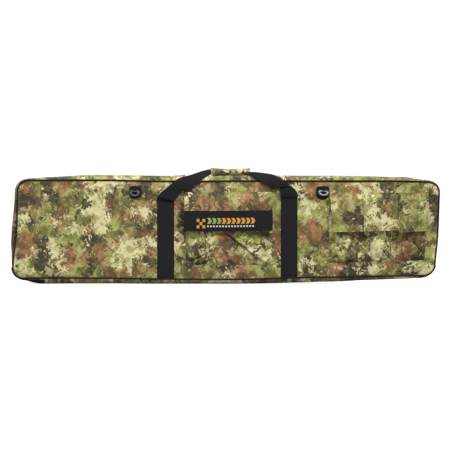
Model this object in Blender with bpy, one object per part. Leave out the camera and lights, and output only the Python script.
"""Long rectangular padded soft case: two padded panels joined by a gusset with a
two-slider zip along the top and both ends. The front half is a lid that turns on the
lower front seam. It carries a centre pocket, three side pouches, two D-rings and the
front carrying handle with its closing grip wrap. The rear half stands on the flat
bottom gusset and carries the rear handle.

X runs along the length, -Y is the front, +Z is up. The origin is the middle of the
flat bottom. All lengths are in metres.
"""

import math
from collections import namedtuple

import bmesh
import bpy
from mathutils import Matrix, Vector

# ---------------------------------------------------------------- shared dimensions
GAP = 0.0003  # clearance between neighbouring pieces
SIDES = ((-1, "left"), (1, "right"))
ROUND_SIDES = 8  # sides of every round cord or bar
CORNER_STEPS = 6  # steps in each rounded corner of the panels and gusset

# seam outline, where panels and gusset meet
HALF_LENGTH = 0.596
SEAM_LOW = 0.0125
SEAM_HIGH = 0.2885
CORNER_R = 0.030
CORNER_X = HALF_LENGTH - CORNER_R  # corner centres lie at x = -CORNER_X and +CORNER_X
HALF_DEPTH = 0.045  # the seams lie at y = -HALF_DEPTH and +HALF_DEPTH

# layers of a panel: thickness, and inset from the seam outline
PANEL_T, PANEL_INSET = 0.0015, 0.003
FOAM_T, FOAM_INSET = 0.009, 0.0045
LINING_T, LINING_INSET = 0.001, 0.006
SEWN_Y = HALF_DEPTH + PANEL_T + GAP  # back of whatever is sewn onto a panel
FOAM_Y = HALF_DEPTH - GAP
LINING_Y = FOAM_Y - FOAM_T - GAP
LINING_INNER_Y = LINING_Y - LINING_T
PIPING_R = 0.0022
PIPING_CORNER_STEPS = 5

# how far the gusset bulges past the seam outline
ARCH_TOP = 0.013
ARCH_BOTTOM = SEAM_LOW
ARCH_END = 0.004
ARCH_CORNER = 0.003

STRAP_T = 0.0018
HANDLE_Y = 0.0515  # handle hinge lines, in front and behind
HANDLE_Z = 0.243

# ---------------------------------------------------------------- materials
Look = namedtuple("Look", "colour roughness metallic")

CAMO = Look(colour=(0.300, 0.258, 0.120), roughness=0.92, metallic=0.0)
WEB = Look(colour=(0.016, 0.016, 0.018), roughness=0.85, metallic=0.0)
LINING = Look(colour=(0.030, 0.030, 0.032), roughness=0.9, metallic=0.0)
FOAM = Look(colour=(0.10, 0.10, 0.105), roughness=0.95, metallic=0.0)
PLASTIC = Look(colour=(0.055, 0.056, 0.06), roughness=0.45, metallic=0.0)
METAL = Look(colour=(0.10, 0.10, 0.105), roughness=0.35, metallic=1.0)


def make_material(name, look):
    mat = bpy.data.materials.new(name)
    mat.use_nodes = True
    bsdf = mat.node_tree.nodes["Principled BSDF"]
    bsdf.inputs["Base Color"].default_value = (*look.colour, 1.0)
    bsdf.inputs["Roughness"].default_value = look.roughness
    bsdf.inputs["Metallic"].default_value = look.metallic
    mat.diffuse_color = (*look.colour, 1.0)
    return mat


# ---------------------------------------------------------------- objects
# A shape is a pair (vertices, faces) in world coordinates.
def link_body(name, verts, faces):
    """Object with a closed mesh whose normals point outward."""
    mesh = bpy.data.meshes.new(name)
    mesh.from_pydata(verts, [], faces)
    bm = bmesh.new()
    bm.from_mesh(mesh)
    bmesh.ops.recalc_face_normals(bm, faces=bm.faces)
    if bm.calc_volume(signed=True) < 0:
        bmesh.ops.reverse_faces(bm, faces=bm.faces)
    bm.to_mesh(mesh)
    bm.free()
    obj = bpy.data.objects.new(name, mesh)
    bpy.context.scene.collection.objects.link(obj)
    return obj


def attach(obj, parent):
    """Parents an object without moving it."""
    obj.parent = parent
    obj.matrix_parent_inverse = Matrix.Translation(-parent.location)


def add(name, shape, look, parent=None, origin=(0, 0, 0), smooth=False):
    """One finished piece of the case."""
    verts, faces = shape
    centre = Vector(origin)
    obj = link_body(name, [tuple(Vector(v) - centre) for v in verts], faces)
    for polygon in obj.data.polygons:
        polygon.use_smooth = smooth
    obj.location = centre
    obj.data.materials.append(make_material("mat_" + name, look))
    if parent is not None:
        attach(obj, parent)


def add_turning(name, shape, look, pivot, smooth=False):
    """A piece that turns about its pivot, with its origin there."""
    add(name, shape, look, parent=pivot, origin=pivot.location, smooth=smooth)


def add_pivot(name, location, parent=None):
    empty = bpy.data.objects.new(name, None)
    empty.empty_display_size = 0.02
    empty.location = location
    bpy.context.scene.collection.objects.link(empty)
    if parent is not None:
        attach(empty, parent)
    return empty


def united(shapes):
    """Joins overlapping closed shapes into one."""
    base, *others = [link_body("part", verts, faces) for verts, faces in shapes]
    for other in others:
        join = base.modifiers.new("join", "BOOLEAN")
        join.operation = "UNION"
        join.solver = "EXACT"
        join.object = other
        bpy.context.view_layer.update()
        depsgraph = bpy.context.evaluated_depsgraph_get()
        joined = bpy.data.meshes.new_from_object(base.evaluated_get(depsgraph))
        base.modifiers.remove(join)
        base.data = joined
        bpy.data.objects.remove(other, do_unlink=True)
    verts = [tuple(v.co) for v in base.data.vertices]
    faces = [tuple(p.vertices) for p in base.data.polygons]
    bpy.data.objects.remove(base, do_unlink=True)
    return verts, faces


# ---------------------------------------------------------------- shape helpers
def sweep(rings, closed=False, split=None):
    """Skin through rings of equal point count, capped unless closed. split is how many
    points of a ring are its outer row: quads are then cut along one diagonal, the same
    on both faces."""
    size, count = len(rings[0]), len(rings)
    verts = [point for ring in rings for point in ring]
    faces = []
    for i in range(count if closed else count - 1):
        j = (i + 1) % count
        for k in range(size):
            q = (k + 1) % size
            a, b, c, d = i * size + k, i * size + q, j * size + q, j * size + k
            if split is None:
                faces.append((a, b, c, d))
            elif k < split:
                faces += [(a, b, c), (a, c, d)]
            else:
                faces += [(a, b, d), (b, c, d)]
    if not closed:
        faces.append(tuple(range(size)))
        faces.append(tuple(range((count - 1) * size, count * size)))
    return verts, faces


def prism_xz(points, y0, y1):
    return sweep([[(x, y, z) for x, z in points] for y in (y0, y1)])


def prism_yz(points, x0, x1):
    return sweep([[(x, y, z) for y, z in points] for x in (x0, x1)])


def prism_xy(points, z0, z1):
    return sweep([[(x, y, z) for x, y in points] for z in (z0, z1)])


def box(x0, x1, y0, y1, z0, z1):
    return prism_xz([(x0, z0), (x1, z0), (x1, z1), (x0, z1)], y0, y1)


def circle(centre_1, centre_2, radius, sides):
    """Points round a circle, as pairs in whichever plane it is used."""
    angles = (2 * math.pi * k / sides for k in range(sides))
    return [(centre_1 + radius * math.cos(a), centre_2 + radius * math.sin(a)) for a in angles]


def round_loop(points, y, radius):
    """Closed round cord along an XZ outline at depth y."""
    rings = []
    for i, (x, z) in enumerate(points):
        xa, za = points[i - 1]
        xb, zb = points[(i + 1) % len(points)]
        tangent = Vector((xb - xa, 0, zb - za)).normalized()
        section = circle(0, 0, radius, ROUND_SIDES)
        rings.append([(x + tangent.z * out, y + dy, z - tangent.x * out) for out, dy in section])
    return sweep(rings, closed=True)


def seam_outline(inset, steps=CORNER_STEPS):
    """XZ points of the seam outline moved inward, counter-clockwise in XZ (x right,
    z up) from the lower right corner."""
    radius = CORNER_R - inset
    low, high = SEAM_LOW + CORNER_R, SEAM_HIGH - CORNER_R
    corners = [  # centre x, centre z, start angle
        (CORNER_X, low, -90),
        (CORNER_X, high, 0),
        (-CORNER_X, high, 90),
        (-CORNER_X, low, 180),
    ]
    points = []
    for x, z, start in corners:
        for k in range(steps + 1):
            angle = math.radians(start + 90.0 * k / steps)
            points.append((x + radius * math.cos(angle), z + radius * math.sin(angle)))
    return points


def ribbon(stations):
    """Webbing through stations (centre, half-width vector, thickness)."""
    rings = []
    last = len(stations) - 1
    for i, (centre, half_width, thickness) in enumerate(stations):
        centre, half_width = Vector(centre), Vector(half_width)
        before = Vector(stations[max(0, i - 1)][0])
        after = Vector(stations[min(last, i + 1)][0])
        tangent = (after - before).normalized()
        offset = tangent.cross(half_width).normalized() * (thickness / 2)
        rings.append(
            [
                tuple(centre - half_width - offset),
                tuple(centre + half_width - offset),
                tuple(centre + half_width + offset),
                tuple(centre - half_width + offset),
            ]
        )
    return sweep(rings)


# ---------------------------------------------------------------- panels
def add_panel_stack(side, word, parent):
    """Outer fabric, foam, lining and piping of one half. side is -1 front, +1 rear."""
    layers = [
        ("panel", CAMO, PANEL_INSET, HALF_DEPTH, HALF_DEPTH + PANEL_T),
        ("foam", FOAM, FOAM_INSET, FOAM_Y, FOAM_Y - FOAM_T),
        ("lining", LINING, LINING_INSET, LINING_Y, LINING_INNER_Y),
    ]
    for part, look, inset, y0, y1 in layers:
        plate = prism_xz(seam_outline(inset), side * y0, side * y1)
        add(word + "_" + part, plate, look, parent=parent)
    cord = round_loop(seam_outline(0.0, PIPING_CORNER_STEPS), side * HALF_DEPTH, PIPING_R)
    add(word + "_piping", cord, WEB, parent=parent, smooth=True)


# ---------------------------------------------------------------- gusset and zip
SPLIT_Z = SEAM_LOW + CORNER_R  # the zip and the lid's gusset end at this height
STRAIGHT_TOP = 0.505  # the top's crest is straight for |x| below this
STRAIGHT_LOW = 0.490  # the bottom is flat for |x| below this
FLAT_HALF = 0.030  # half width of the flat part of the bottom
FLAT_FALL = 0.0145  # width over which the bulge falls off beside the flat part
FLAT_POWER = 1.6  # exponent of that fall
GUSSET_EDGE = 0.0425  # where the gusset's fabric ends, next to the piping
GUSSET_T = 0.003
HALF_GUSSET_YS = [0.009, 0.016, 0.026, 0.036, GUSSET_EDGE]  # distances from y = 0
BOTTOM_GUSSET_YS = [-GUSSET_EDGE, -0.037, -FLAT_HALF, 0.0, FLAT_HALF, 0.037, GUSSET_EDGE]

BOTTOM_FOAM_HALF_LENGTH = 0.480
BOTTOM_FOAM_HALF_W = 0.029
BOTTOM_FOAM_TOP = 0.0088

ZIP_SINK = 0.002  # middle of tape and coil, below the crest of the gusset
TAPE_YS, TAPE_T = [0.0035, 0.0087], 0.0008
COIL_YS, COIL_T = [0.0008, 0.0032], 0.0022
TAB_X = 0.505  # the end tabs cover lower gusset stations beyond this
TAB_T = 0.0010


def smooth01(t):
    t = max(0.0, min(1.0, t))
    return t * t * (3 - 2 * t)


def ease(start, end, t):
    return start + (end - start) * smooth01(t)


# A gusset station is (x, z, normal x, normal z, bulge, flatness of the bulge).
def corner_station(degrees, centre_z, bulge, flat):
    """Station on a left-hand corner of the seam outline."""
    angle = math.radians(degrees)
    nx, nz = math.cos(angle), math.sin(angle)
    return (-CORNER_X + CORNER_R * nx, centre_z + CORNER_R * nz, nx, nz, bulge, flat)


def with_right_half(left):
    """Mirrors left-hand stations, the last of which lies at x = 0."""
    right = [(-x, z, -nx, nz, bulge, flat) for x, z, nx, nz, bulge, flat in reversed(left[:-1])]
    return left + right


def upper_stations():
    """Both ends and the top, above SPLIT_Z."""
    left = [(-HALF_LENGTH, z, -1, 0, ARCH_END, 0) for z in (SPLIT_Z + GAP, 0.09, 0.15, 0.21)]
    for k in range(CORNER_STEPS + 1):
        share = k / CORNER_STEPS
        bulge = ease(ARCH_END, ARCH_CORNER, 3 * share)
        left.append(corner_station(180 - 90 * share, SEAM_HIGH - CORNER_R, bulge, 0))
    for x in (-0.548, -0.527, -STRAIGHT_TOP, -0.30, 0.0):
        share = (x + CORNER_X) / (CORNER_X - STRAIGHT_TOP)
        left.append((x, SEAM_HIGH, 0, 1, ease(ARCH_CORNER, ARCH_TOP, share), 0))
    return with_right_half(left)


def lower_stations():
    """The bottom and the lower corners, below SPLIT_Z."""
    left = [(-HALF_LENGTH, SPLIT_Z - GAP, -1, 0, ARCH_END, 0)]
    for k in range(1, CORNER_STEPS + 1):
        share = k / CORNER_STEPS
        bulge = ease(ARCH_END, ARCH_CORNER, share)
        left.append(corner_station(180 + 90 * share, SEAM_LOW + CORNER_R, bulge, 0.5 * share))
    for x in (-0.550, -0.530, -0.510, -STRAIGHT_LOW, 0.0):
        share = (x + CORNER_X) / (CORNER_X - STRAIGHT_LOW)
        bulge = ease(ARCH_CORNER, ARCH_BOTTOM, share)
        left.append((x, SEAM_LOW, 0, -1, bulge, ease(0.5, 1.0, share)))
    return with_right_half(left)


def arch(y, flat):
    """Share of the bulge at depth y: a plain arch blended with a flat-topped one."""
    round_part = 1 - (abs(y) / HALF_DEPTH) ** 2
    fall = max(0.0, (abs(y) - FLAT_HALF) / FLAT_FALL)
    flat_part = 1 - fall**FLAT_POWER
    return (1 - flat) * round_part + flat * flat_part


def belt(stations, ys, thickness, follow_arch=True, drop=0.0):
    """Band along the outline. Its outer face lies drop inside the gusset's surface, or
    inside the level of its crest when it does not follow the arch."""
    rings = []
    for x, z, nx, nz, bulge, flat in stations:
        outer, inner = [], []
        for y in ys:
            share = arch(y, flat) if follow_arch else 1.0
            out = bulge * share - drop
            outer.append((x + nx * out, y, z + nz * out))
            inner.append((x + nx * (out - thickness), y, z + nz * (out - thickness)))
        rings.append(outer + inner[::-1])
    return sweep(rings, split=len(ys))


def add_upper_gusset(side, word, parent):
    """One half's gusset fabric, zip tape and zip coil. side is -1 front, +1 rear."""
    stations = upper_stations()
    ys = sorted(side * y for y in HALF_GUSSET_YS)
    add(word + "_gusset", belt(stations, ys, GUSSET_T), CAMO, parent=parent)
    zip_parts = (("zip_tape_", TAPE_YS, TAPE_T, WEB), ("zip_coil_", COIL_YS, COIL_T, PLASTIC))
    for part, distances, thickness, look in zip_parts:
        ys = sorted(side * y for y in distances)
        drop = ZIP_SINK - thickness / 2
        band = belt(stations, ys, thickness, follow_arch=False, drop=drop)
        add(part + word, band, look, parent=parent)


def add_bottom():
    """Bottom gusset, its foam, and the tabs round the lower corners at the zip's ends."""
    stations = lower_stations()
    add("bottom_gusset", belt(stations, BOTTOM_GUSSET_YS, GUSSET_T), CAMO)
    foam = box(
        -BOTTOM_FOAM_HALF_LENGTH, BOTTOM_FOAM_HALF_LENGTH,
        -BOTTOM_FOAM_HALF_W, BOTTOM_FOAM_HALF_W,
        GUSSET_T + GAP, BOTTOM_FOAM_TOP,
    )
    add("bottom_foam", foam, FOAM)
    for side, word in SIDES:
        tab_stations = [s for s in stations if side * s[0] > TAB_X]
        tab = belt(tab_stations, BOTTOM_GUSSET_YS[1:-1], TAB_T, drop=-(TAB_T + GAP))
        add("zip_end_tab_" + word, tab, WEB)


# ---------------------------------------------------------------- straps
STRAP_X = 0.173
STRAP_HALF_W = 0.024
STRAP_LOW, STRAP_TOP = 0.0185, 0.2465
INNER_STRAP_X = 0.300
INNER_STRAP_HALF_W = 0.0125
INNER_STRAP_LOW, INNER_STRAP_TOP = 0.030, 0.270


def add_straps(depth_side, prefix, parent):
    """The two upright straps on one panel. depth_side is -1 front, +1 rear."""
    y0, y1 = depth_side * SEWN_Y, depth_side * (SEWN_Y + STRAP_T)
    for side, word in SIDES:
        x = side * STRAP_X
        strap = box(x - STRAP_HALF_W, x + STRAP_HALF_W, y0, y1, STRAP_LOW, STRAP_TOP)
        add(prefix + "_strap_" + word, strap, WEB, parent=parent)


def add_inner_straps():
    """Hold-down bands on the rear lining."""
    y = LINING_INNER_Y - GAP
    for side, word in SIDES:
        x0, x1 = (side * INNER_STRAP_X + s * INNER_STRAP_HALF_W for s in (-1, 1))
        band = box(x0, x1, y - STRAP_T, y, INNER_STRAP_LOW, INNER_STRAP_TOP)
        add("inner_strap_" + word, band, WEB)


# ---------------------------------------------------------------- D-rings
D_RING_X = 0.262
D_RING_Y = -0.0516
D_RING_Z = 0.2640
D_RING_R = 0.0021  # radius of the ring's cord
PATCH_HALF_W, PATCH_T = 0.0175, 0.0016
PATCH_LOW, PATCH_TOP = 0.2400, 0.2750
LOOP_HALF_W = 0.0068
LOOP_OUTER_R, LOOP_INNER_R, LOOP_SIDES = 0.0037, 0.0026, 12
# right half of the D, from the upper bar down: x, z from the middle of the bar
D_RIGHT = [
    (0.0085, 0.0), (0.0105, -0.0010), (0.0112, -0.0030), (0.0112, -0.0068),
    (0.0104, -0.0106), (0.0080, -0.0138), (0.0042, -0.0158),
]
D_LOWEST = (0.0, -0.0164)


def d_ring_base(x):
    """Sewn patch with the webbing loop that holds the ring."""
    patch = box(
        x - PATCH_HALF_W, x + PATCH_HALF_W, -SEWN_Y - PATCH_T, -SEWN_Y, PATCH_LOW, PATCH_TOP
    )
    rings = []
    for radius, side in (
        (LOOP_OUTER_R, -1), (LOOP_OUTER_R, 1), (LOOP_INNER_R, 1), (LOOP_INNER_R, -1)
    ):
        points = circle(D_RING_Y, D_RING_Z, radius, LOOP_SIDES)
        rings.append([(x + side * LOOP_HALF_W, y, z) for y, z in points])
    return united([patch, sweep(rings, closed=True)])


def add_d_rings(lid):
    outline = D_RIGHT + [D_LOWEST] + [(-x, z) for x, z in reversed(D_RIGHT)]
    for side, word in SIDES:
        x = side * D_RING_X
        add("d_ring_base_" + word, d_ring_base(x), WEB, parent=lid)
        pivot = add_pivot("d_ring_line_" + word, (x, D_RING_Y, D_RING_Z), lid)
        path = [(x + dx, D_RING_Z + dz) for dx, dz in outline]
        ring = round_loop(path, D_RING_Y, D_RING_R)
        add_turning("d_ring_" + word, ring, PLASTIC, pivot, smooth=True)


# ---------------------------------------------------------------- pockets
POCKET_BACK = -SEWN_Y
POCKET_FRONT = -0.0625
POCKET_WALL = 0.0012
FLAP_HINGE_Y = -0.0492
FLAP_IN_Y = POCKET_FRONT - 0.0018  # rear face of a flap's hanging part
FLAP_OUT_Y = FLAP_IN_Y - 0.0016
CLOSURE_T = 0.0015  # measured from the pocket's front face, gap included

# pockets: x0, x1, z0, z1
CENTRE_POCKET = (-0.1190, 0.1245, 0.0590, 0.2380)
POUCHES = [
    (0.2840, 0.3680, 0.0600, 0.2380),
    (0.3880, 0.4690, 0.0600, 0.2380),
    (0.4820, 0.5620, 0.0600, 0.2380),
]
# flaps: x0, x1, hinge height, lower edge
CENTRE_FLAP = (-0.1210, 0.1265, 0.2576, 0.1470)
POUCH_FLAPS = [
    (0.2880, 0.3825, 0.2562, 0.1460),
    (0.3832, 0.4826, 0.2562, 0.1495),
    (0.4833, 0.5650, 0.2562, 0.1470),
]
# closure strips on the pockets' fronts: x0, x1, z0, z1
CENTRE_CLOSURE = (-0.1100, 0.1150, 0.1520, 0.1770)
POUCH_CLOSURE_INSET = 0.010
POUCH_CLOSURE_Z = (0.1540, 0.1790)

NAME_STRIP_INSET = 0.0005
NAME_STRIP_T = 0.0010
NAME_STRIP_TOP = 0.2055


def pocket_profile(z0, z1, inset):
    """YZ profile from the lower back round the front to the upper back."""
    back, front = POCKET_BACK - inset, POCKET_FRONT + inset
    bevel = front + 0.004
    return [
        (back, z0 + inset), (bevel, z0 + inset), (front, z0 + 0.020),
        (front, z1 - 0.030), (bevel, z1), (back, z1),
    ]


def open_pocket(x0, x1, z0, z1):
    """Pocket with a back, a bulged front, two sides and a bottom, open at the top."""
    outer = pocket_profile(z0, z1, 0.0)
    inner = pocket_profile(z0, z1, POCKET_WALL)
    rings = [(x0, outer), (x1, outer), (x1 - POCKET_WALL, inner), (x0 + POCKET_WALL, inner)]
    verts = [(x, y, z) for x, profile in rings for y, z in profile]
    size = len(outer)

    def at(ring, k):
        return ring * size + k % size

    faces = [tuple(at(ring, k) for k in range(size)) for ring in range(4)]
    # walls outside and inside, all but the open top between the last two points
    for a, b in ((0, 1), (2, 3)):
        for k in range(-1, size - 2):
            faces.append((at(a, k), at(b, k), at(b, k + 1), at(a, k + 1)))
    # rim: front and back, then left and right
    front, back = size - 2, size - 1
    faces += [tuple(at(ring, k) for ring in range(4)) for k in (front, back)]
    for a, b in ((0, 3), (1, 2)):
        faces.append((at(a, front), at(b, front), at(b, back), at(a, back)))
    return verts, faces


def flap_profile(hinge_z, low_z):
    """YZ profile of a flap: from its seam it leans forward over the pocket's mouth,
    then hangs down."""
    knee = hinge_z - 0.020
    return [
        (FLAP_HINGE_Y + 0.0010, hinge_z + 0.0006),
        (FLAP_HINGE_Y - 0.0010, hinge_z + 0.0012),
        (FLAP_OUT_Y, knee + 0.0010),
        (FLAP_OUT_Y, low_z),
        (FLAP_IN_Y, low_z),
        (FLAP_IN_Y, knee),
        (FLAP_HINGE_Y + 0.0010, hinge_z - 0.0012),
    ]


def add_closure(name, x0, x1, z0, z1, lid):
    strip = box(x0, x1, POCKET_FRONT - CLOSURE_T, POCKET_FRONT - GAP, z0, z1)
    add(name, strip, WEB, parent=lid)


def add_flap(name, pivot_name, pivot_x, flap, lid):
    """Flap on its own hinge line; returns the pivot."""
    x0, x1, hinge_z, low_z = flap
    pivot = add_pivot(pivot_name, (pivot_x, FLAP_HINGE_Y, hinge_z), lid)
    add_turning(name, prism_yz(flap_profile(hinge_z, low_z), x0, x1), CAMO, pivot)
    return pivot


def add_centre_pocket(lid):
    add("centre_pocket", open_pocket(*CENTRE_POCKET), CAMO, parent=lid)
    add_closure("centre_closure", *CENTRE_CLOSURE, lid)
    pivot = add_flap("centre_flap", "centre_flap_line", 0.0, CENTRE_FLAP, lid)
    x0, x1, _, low_z = CENTRE_FLAP
    y = FLAP_OUT_Y - GAP
    strip = box(
        x0 + NAME_STRIP_INSET, x1 - NAME_STRIP_INSET, y - NAME_STRIP_T, y,
        low_z + NAME_STRIP_INSET, NAME_STRIP_TOP,
    )
    add_turning("name_strip", strip, WEB, pivot)


def add_pouches(lid):
    for i, (pouch, flap) in enumerate(zip(POUCHES, POUCH_FLAPS), 1):
        add("pouch_%d" % i, open_pocket(*pouch), CAMO, parent=lid)
        x0, x1 = pouch[0] + POUCH_CLOSURE_INSET, pouch[1] - POUCH_CLOSURE_INSET
        add_closure("pouch_closure_%d" % i, x0, x1, *POUCH_CLOSURE_Z, lid)
        middle = (flap[0] + flap[1]) / 2
        add_flap("pouch_flap_%d" % i, "pouch_flap_line_%d" % i, middle, flap, lid)


# ---------------------------------------------------------------- handles
WRAP_X0, WRAP_X1 = -0.0456, 0.0620
WRAP_Y0, WRAP_Y1 = -0.0225, -0.0035
WRAP_Z0, WRAP_Z1 = 0.3095, 0.3305
WRAP_T = 0.0026
WRAP_BEVEL, WRAP_BEVEL_MID = 0.004, 0.0012
GRIP_FLAP_T = 0.0026
GRIP_FLAP_INSET_X = 0.001

# left halves of the handles: centre, half-width vector, thickness
FRONT_HANDLE_LEFT = [
    ((-0.1730, -HANDLE_Y, 0.2410), (0.0235, 0, 0), STRAP_T),
    ((-0.1725, -HANDLE_Y, 0.2470), (0.0230, 0, -0.0020), STRAP_T),
    ((-0.1625, -HANDLE_Y, 0.2580), (0.0175, 0, -0.0110), STRAP_T),
    ((-0.1420, -HANDLE_Y, 0.2750), (0.0095, 0, -0.0115), STRAP_T),
    ((-0.1160, -0.0505, 0.2890), (0.0062, 0, -0.0112), STRAP_T),
    ((-0.0980, -0.0490, 0.2985), (0.0045, -0.0018, -0.0108), STRAP_T),
    ((-0.0800, -0.0395, 0.3070), (0.0030, -0.0060, -0.0100), STRAP_T),
    ((-0.0640, -0.0265, 0.3150), (0.0005, -0.0040, -0.0080), 0.0022),
    ((-0.0520, -0.0160, 0.3190), (0.0, -0.0010, -0.0072), 0.0028),
    ((-0.0400, -0.0125, (WRAP_Z0 + WRAP_Z1) / 2), (0.0, 0.0, -0.0070), 0.0030),
]
REAR_HANDLE_LEFT = [
    ((-0.1730, HANDLE_Y, 0.2450), (0.0235, 0, 0), STRAP_T),
    ((-0.1725, HANDLE_Y, 0.2390), (0.0230, 0, 0.0020), STRAP_T),
    ((-0.1625, HANDLE_Y, 0.2280), (0.0175, 0, 0.0110), STRAP_T),
    ((-0.1420, HANDLE_Y, 0.2115), (0.0115, 0, 0.0140), STRAP_T),
    ((-0.1160, HANDLE_Y, 0.1975), (0.0075, 0, 0.0135), STRAP_T),
    ((-0.0880, HANDLE_Y, 0.1870), (0.0045, 0, 0.0125), STRAP_T),
    ((-0.0560, HANDLE_Y, 0.1805), (0.0018, 0, 0.0120), STRAP_T),
    ((-0.0200, HANDLE_Y, 0.1780), (0.0, 0, 0.0120), STRAP_T),
]
# the right half's shift is full at SHIFT_FULL_X and dies out at SHIFT_END_X
SHIFT_FULL_X, SHIFT_END_X = 0.04, 0.10


def handle(left, shift=0.0):
    """Webbing from its left half. shift moves the middle of the right half along +X."""
    right = []
    for (x, y, z), (wx, wy, wz), thickness in reversed(left):
        share = max(0.0, (SHIFT_END_X + x) / (SHIFT_END_X - SHIFT_FULL_X))
        right.append(((-x + shift * share, y, z), (-wx, wy, wz), thickness))
    return ribbon(left + right)


def grip_wrap():
    """Front wall, bottom and top; the rear wall is the flap that opens it."""
    y0, y1, z0, z1 = WRAP_Y0, WRAP_Y1, WRAP_Z0, WRAP_Z1
    far, near, wall = WRAP_BEVEL, WRAP_BEVEL_MID, WRAP_T
    profile = [
        (y1, z1), (y0 + far, z1), (y0 + near, z1 - near), (y0, z1 - far),
        (y0, z0 + far), (y0 + near, z0 + near), (y0 + far, z0), (y1, z0),
        (y1, z0 + wall), (y0 + wall, z0 + wall), (y0 + wall, z1 - wall), (y1, z1 - wall),
    ]
    return prism_yz(profile, WRAP_X0, WRAP_X1)


def grip_flap(y):
    """Rear wall of the wrap, its front face at depth y, bevelled behind."""
    low, high = WRAP_Z0 + 0.0003, WRAP_Z1 - 0.0002
    profile = [
        (y, high), (y, low), (y + 0.0018, low), (y + GRIP_FLAP_T, WRAP_Z0 + 0.0014),
        (y + GRIP_FLAP_T, WRAP_Z1 - 0.0016), (y + 0.0018, high),
    ]
    return prism_yz(profile, WRAP_X0 + GRIP_FLAP_INSET_X, WRAP_X1 - GRIP_FLAP_INSET_X)


def add_front_handle(lid):
    pivot = add_pivot("front_handle_line", (0, -HANDLE_Y, HANDLE_Z), lid)
    # the wrap lies off centre, so the right half is shifted to mirror about its middle
    webbing = handle(FRONT_HANDLE_LEFT, shift=WRAP_X0 + WRAP_X1)
    add_turning("front_handle_webbing", webbing, WEB, pivot)
    add_turning("grip_wrap", grip_wrap(), CAMO, pivot)
    y = WRAP_Y1 + GAP
    flap_pivot = add_pivot("grip_flap_line", (0, y, WRAP_Z1 + GAP), pivot)
    add_turning("grip_flap", grip_flap(y), CAMO, flap_pivot)


def add_rear_handle():
    pivot = add_pivot("rear_handle_line", (0, HANDLE_Y, HANDLE_Z))
    add_turning("rear_handle_webbing", handle(REAR_HANDLE_LEFT), WEB, pivot)


# ---------------------------------------------------------------- sliders and pulls
SLIDER_X = {"left": -0.118, "right": -0.082}
ZIP_LINE = SEAM_HIGH + ARCH_TOP - ZIP_SINK  # middle height of the coil on the top
PLATE_HALF_LENGTH, PLATE_HALF_W, PLATE_CUT = 0.0080, 0.0062, 0.0025
PLATE_NEAR, PLATE_FAR = 0.0022, 0.0039  # plate faces, above and below ZIP_LINE
DIVIDER_X, DIVIDER_HALF_X = 0.0050, 0.0015
DIVIDER_HALF_Y, DIVIDER_HALF_Z = 0.0005, 0.0030
BAR_X = 0.0030  # pull bar, from the slider's middle
PULL_Z = ZIP_LINE + 0.0060
BAR_R, BAR_HALF_W = 0.0005, 0.0046
POST_Y, POST_HALF_X, POST_HALF_Y = 0.0044, 0.0012, 0.0007
POST_LOW, POST_TOP = ZIP_LINE + 0.0033, PULL_Z + 0.0007
PULL_HALF_W = 0.0030
PULL_LENGTH = 0.0290
PULL_EYE_R = 0.00082
PULL_EYE_ANGLE = math.radians(16)  # eye points that face the pull's far end
# pull outline round the bar: x away from the bar, z
PULL_OUTLINE = [
    (-0.0013, -0.0012), (-0.0013, 0.0), (-0.0013, 0.0012), (0.0, 0.0012), (0.0013, 0.0012),
    (PULL_LENGTH, 0.0008), (PULL_LENGTH, -0.0008), (0.0013, -0.0012), (0.0, -0.0012),
]


def slider_plate(x, z0, z1):
    """Level plate with cut corners."""
    length, width, cut = PLATE_HALF_LENGTH, PLATE_HALF_W, PLATE_CUT
    points = [
        (x - length + cut, -width), (x + length - cut, -width),
        (x + length, -width + cut), (x + length, width - cut),
        (x + length - cut, width), (x - length + cut, width),
        (x - length, width - cut), (x - length, -width + cut),
    ]
    return prism_xy(points, z0, z1)


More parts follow.
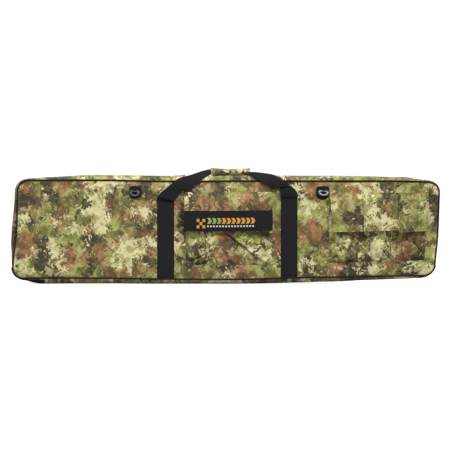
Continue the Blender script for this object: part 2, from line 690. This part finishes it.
def slider(x, bar_x, direction):
    """Two plates, the divider between the coils, and the bar on its two posts."""
    divider_x = x - direction * DIVIDER_X
    divider = box(
        divider_x - DIVIDER_HALF_X, divider_x + DIVIDER_HALF_X,
        -DIVIDER_HALF_Y, DIVIDER_HALF_Y,
        ZIP_LINE - DIVIDER_HALF_Z, ZIP_LINE + DIVIDER_HALF_Z,
    )
    posts = [
        box(
            bar_x - POST_HALF_X, bar_x + POST_HALF_X, y - POST_HALF_Y, y + POST_HALF_Y,
            POST_LOW, POST_TOP,
        )
        for y in (-POST_Y, POST_Y)
    ]
    bar = prism_xz(circle(bar_x, PULL_Z, BAR_R, ROUND_SIDES), -BAR_HALF_W, BAR_HALF_W)
    top = slider_plate(x, ZIP_LINE + PLATE_NEAR, ZIP_LINE + PLATE_FAR)
    bottom = slider_plate(x, ZIP_LINE - PLATE_FAR, ZIP_LINE - PLATE_NEAR)
    return united([top, divider, bottom, *posts, bar])


def pull(bar_x, direction):
    """Flat pull with a round eye through which the bar passes."""
    eye = []
    for x, z in PULL_OUTLINE:
        angle = math.atan2(z, x)
        if x == PULL_LENGTH:
            angle = math.copysign(PULL_EYE_ANGLE, z)
        eye.append((PULL_EYE_R * math.cos(angle), PULL_EYE_R * math.sin(angle)))
    rings = []
    for points, side in ((PULL_OUTLINE, -1), (PULL_OUTLINE, 1), (eye, 1), (eye, -1)):
        y = side * PULL_HALF_W
        rings.append([(bar_x + direction * x, y, PULL_Z + z) for x, z in points])
    return sweep(rings, closed=True)


def add_sliders():
    for direction, word in SIDES:
        x = SLIDER_X[word]
        bar_x = x + direction * BAR_X
        add("slider_" + word, slider(x, bar_x, direction), METAL)
        pivot = add_pivot("pull_line_" + word, (bar_x, 0, PULL_Z))
        add_turning("pull_" + word, pull(bar_x, direction), METAL, pivot)


# ---------------------------------------------------------------- assembly
def build():
    for old in list(bpy.data.objects):
        bpy.data.objects.remove(old, do_unlink=True)
    lid = add_pivot("lid_hinge_line", (0, -HALF_DEPTH, SEAM_LOW))
    for side, word, parent in ((-1, "front", lid), (1, "rear", None)):
        add_panel_stack(side, word, parent)
        add_upper_gusset(side, word, parent)
        add_straps(side, word, parent)
    add_bottom()
    add_inner_straps()
    add_d_rings(lid)
    add_centre_pocket(lid)
    add_pouches(lid)
    add_front_handle(lid)
    add_rear_handle()
    add_sliders()


build()
